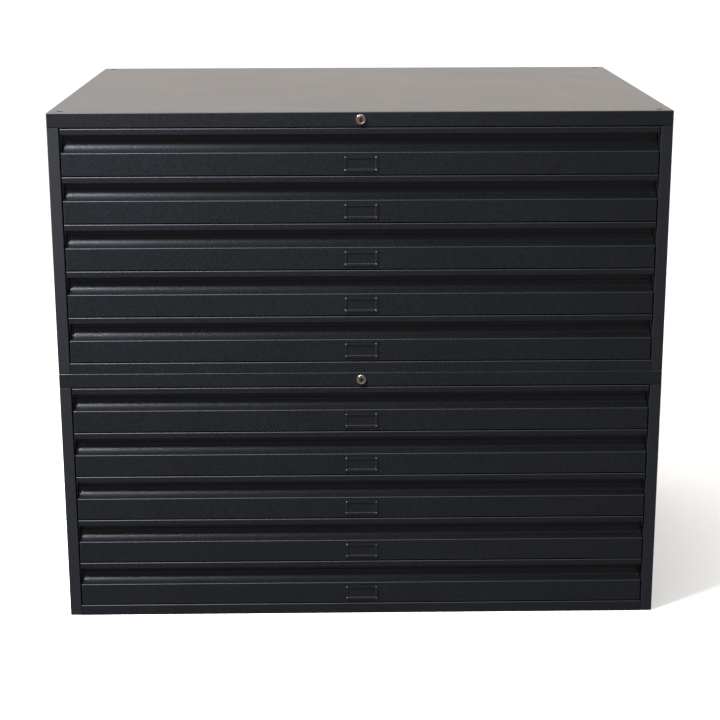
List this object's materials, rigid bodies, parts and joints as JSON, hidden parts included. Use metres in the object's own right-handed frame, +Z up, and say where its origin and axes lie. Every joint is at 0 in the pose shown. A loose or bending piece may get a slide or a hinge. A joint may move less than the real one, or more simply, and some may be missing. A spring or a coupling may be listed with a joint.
{
  "type": "plan chest",
  "caption": "Stacked steel plan chests with wide shallow drawers, scooped finger recesses, label holders and a central lock in each.",
  "frame": {"origin": "middle of the overall footprint at floor level", "axes": "+X to the viewer's right along the width, +Y from front to back, +Z up; the drawers open towards -Y"},
  "size_m": [1, 0.744, 0.86],
  "materials": {
    "casing_paint": "fine-textured satin powder coat",
    "drawer_paint": "fine-textured satin powder coat",
    "holder_paint": "satin powder coat",
    "zinc_steel": "bright zinc plate",
    "galvanised_steel": "galvanised",
    "lock_nickel": "nickel plate"
  },
  "bodies": {
    "frame": {"lower_top_panel": "casing_paint", "lower_left_side": "casing_paint", "lower_right_side": "casing_paint", "lower_back_panel": "casing_paint", "lower_base_panel": "casing_paint", "lower_slide_rails": "zinc_steel", "lower_lock_barrel": "lock_nickel", "upper_top_panel": "casing_paint", "upper_left_side": "casing_paint", "upper_right_side": "casing_paint", "upper_back_panel": "casing_paint", "upper_base_panel": "casing_paint", "upper_slide_rails": "zinc_steel", "upper_lock_barrel": "lock_nickel", "threaded_inserts": "zinc_steel", "stacking_bolts": "zinc_steel"},
    "lower_lock": {"lower_lock_plug": "lock_nickel"},
    "lower_lock_bar": {"lower_lock_bar": "galvanised_steel"},
    "lower_drawer_1": {"lower_drawer_1_front": "drawer_paint", "lower_drawer_1_tray": "drawer_paint", "lower_drawer_1_label_holder": "holder_paint"},
    "lower_slides_1": {"lower_drawer_1_slides": "zinc_steel"},
    "lower_drawer_2": {"lower_drawer_2_front": "drawer_paint", "lower_drawer_2_tray": "drawer_paint", "lower_drawer_2_label_holder": "holder_paint"},
    "lower_slides_2": {"lower_drawer_2_slides": "zinc_steel"},
    "lower_drawer_3": {"lower_drawer_3_front": "drawer_paint", "lower_drawer_3_tray": "drawer_paint", "lower_drawer_3_label_holder": "holder_paint"},
    "lower_slides_3": {"lower_drawer_3_slides": "zinc_steel"},
    "lower_drawer_4": {"lower_drawer_4_front": "drawer_paint", "lower_drawer_4_tray": "drawer_paint", "lower_drawer_4_label_holder": "holder_paint"},
    "lower_slides_4": {"lower_drawer_4_slides": "zinc_steel"},
    "lower_drawer_5": {"lower_drawer_5_front": "drawer_paint", "lower_drawer_5_tray": "drawer_paint", "lower_drawer_5_label_holder": "holder_paint"},
    "lower_slides_5": {"lower_drawer_5_slides": "zinc_steel"},
    "upper_lock": {"upper_lock_plug": "lock_nickel"},
    "upper_lock_bar": {"upper_lock_bar": "galvanised_steel"},
    "upper_drawer_1": {"upper_drawer_1_front": "drawer_paint", "upper_drawer_1_tray": "drawer_paint", "upper_drawer_1_label_holder": "holder_paint"},
    "upper_slides_1": {"upper_drawer_1_slides": "zinc_steel"},
    "upper_drawer_2": {"upper_drawer_2_front": "drawer_paint", "upper_drawer_2_tray": "drawer_paint", "upper_drawer_2_label_holder": "holder_paint"},
    "upper_slides_2": {"upper_drawer_2_slides": "zinc_steel"},
    "upper_drawer_3": {"upper_drawer_3_front": "drawer_paint", "upper_drawer_3_tray": "drawer_paint", "upper_drawer_3_label_holder": "holder_paint"},
    "upper_slides_3": {"upper_drawer_3_slides": "zinc_steel"},
    "upper_drawer_4": {"upper_drawer_4_front": "drawer_paint", "upper_drawer_4_tray": "drawer_paint", "upper_drawer_4_label_holder": "holder_paint"},
    "upper_slides_4": {"upper_drawer_4_slides": "zinc_steel"},
    "upper_drawer_5": {"upper_drawer_5_front": "drawer_paint", "upper_drawer_5_tray": "drawer_paint", "upper_drawer_5_label_holder": "holder_paint"},
    "upper_slides_5": {"upper_drawer_5_slides": "zinc_steel"}
  },
  "joints": [
    {"name": "lower_lock_bar_slide", "type": "slide", "parent": "frame", "child": "lower_lock_bar", "axis": [-1, 0, 0], "range_m": [0, 0.008]},
    {"name": "lower_lock_turn", "type": "hinge", "parent": "frame", "child": "lower_lock", "pos_m": [0, -0.368, 0.418], "axis": [0, 1, 0], "range_deg": [0, 90]},
    {"name": "lower_drawer_1_open", "type": "slide", "parent": "frame", "child": "lower_drawer_1", "axis": [0, -1, 0], "range_m": [0, 0.56]},
    {"name": "lower_slides_1_follow", "type": "slide", "parent": "frame", "child": "lower_slides_1", "axis": [0, -1, 0], "range_m": [0, 0.28]},
    {"name": "lower_drawer_2_open", "type": "slide", "parent": "frame", "child": "lower_drawer_2", "axis": [0, -1, 0], "range_m": [0, 0.56]},
    {"name": "lower_slides_2_follow", "type": "slide", "parent": "frame", "child": "lower_slides_2", "axis": [0, -1, 0], "range_m": [0, 0.28]},
    {"name": "lower_drawer_3_open", "type": "slide", "parent": "frame", "child": "lower_drawer_3", "axis": [0, -1, 0], "range_m": [0, 0.56]},
    {"name": "lower_slides_3_follow", "type": "slide", "parent": "frame", "child": "lower_slides_3", "axis": [0, -1, 0], "range_m": [0, 0.28]},
    {"name": "lower_drawer_4_open", "type": "slide", "parent": "frame", "child": "lower_drawer_4", "axis": [0, -1, 0], "range_m": [0, 0.56]},
    {"name": "lower_slides_4_follow", "type": "slide", "parent": "frame", "child": "lower_slides_4", "axis": [0, -1, 0], "range_m": [0, 0.28]},
    {"name": "lower_drawer_5_open", "type": "slide", "parent": "frame", "child": "lower_drawer_5", "axis": [0, -1, 0], "range_m": [0, 0.56]},
    {"name": "lower_slides_5_follow", "type": "slide", "parent": "frame", "child": "lower_slides_5", "axis": [0, -1, 0], "range_m": [0, 0.28]},
    {"name": "upper_lock_bar_slide", "type": "slide", "parent": "frame", "child": "upper_lock_bar", "axis": [-1, 0, 0], "range_m": [0, 0.008]},
    {"name": "upper_lock_turn", "type": "hinge", "parent": "frame", "child": "upper_lock", "pos_m": [0, -0.368, 0.848], "axis": [0, 1, 0], "range_deg": [0, 90]},
    {"name": "upper_drawer_1_open", "type": "slide", "parent": "frame", "child": "upper_drawer_1", "axis": [0, -1, 0], "range_m": [0, 0.56]},
    {"name": "upper_slides_1_follow", "type": "slide", "parent": "frame", "child": "upper_slides_1", "axis": [0, -1, 0], "range_m": [0, 0.28]},
    {"name": "upper_drawer_2_open", "type": "slide", "parent": "frame", "child": "upper_drawer_2", "axis": [0, -1, 0], "range_m": [0, 0.56]},
    {"name": "upper_slides_2_follow", "type": "slide", "parent": "frame", "child": "upper_slides_2", "axis": [0, -1, 0], "range_m": [0, 0.28]},
    {"name": "upper_drawer_3_open", "type": "slide", "parent": "frame", "child": "upper_drawer_3", "axis": [0, -1, 0], "range_m": [0, 0.56]},
    {"name": "upper_slides_3_follow", "type": "slide", "parent": "frame", "child": "upper_slides_3", "axis": [0, -1, 0], "range_m": [0, 0.28]},
    {"name": "upper_drawer_4_open", "type": "slide", "parent": "frame", "child": "upper_drawer_4", "axis": [0, -1, 0], "range_m": [0, 0.56]},
    {"name": "upper_slides_4_follow", "type": "slide", "parent": "frame", "child": "upper_slides_4", "axis": [0, -1, 0], "range_m": [0, 0.28]},
    {"name": "upper_drawer_5_open", "type": "slide", "parent": "frame", "child": "upper_drawer_5", "axis": [0, -1, 0], "range_m": [0, 0.56]},
    {"name": "upper_slides_5_follow", "type": "slide", "parent": "frame", "child": "upper_slides_5", "axis": [0, -1, 0], "range_m": [0, 0.28]}
  ],
  "couplings": [
    {"joint": "lower_lock_turn", "follows": "lower_lock_bar_slide", "rad_per_m": 196.35},
    {"joint": "lower_slides_1_follow", "follows": "lower_drawer_1_open", "ratio": 0.5},
    {"joint": "lower_slides_2_follow", "follows": "lower_drawer_2_open", "ratio": 0.5},
    {"joint": "lower_slides_3_follow", "follows": "lower_drawer_3_open", "ratio": 0.5},
    {"joint": "lower_slides_4_follow", "follows": "lower_drawer_4_open", "ratio": 0.5},
    {"joint": "lower_slides_5_follow", "follows": "lower_drawer_5_open", "ratio": 0.5},
    {"joint": "upper_lock_turn", "follows": "upper_lock_bar_slide", "rad_per_m": 196.35},
    {"joint": "upper_slides_1_follow", "follows": "upper_drawer_1_open", "ratio": 0.5},
    {"joint": "upper_slides_2_follow", "follows": "upper_drawer_2_open", "ratio": 0.5},
    {"joint": "upper_slides_3_follow", "follows": "upper_drawer_3_open", "ratio": 0.5},
    {"joint": "upper_slides_4_follow", "follows": "upper_drawer_4_open", "ratio": 0.5},
    {"joint": "upper_slides_5_follow", "follows": "upper_drawer_5_open", "ratio": 0.5}
  ]
}
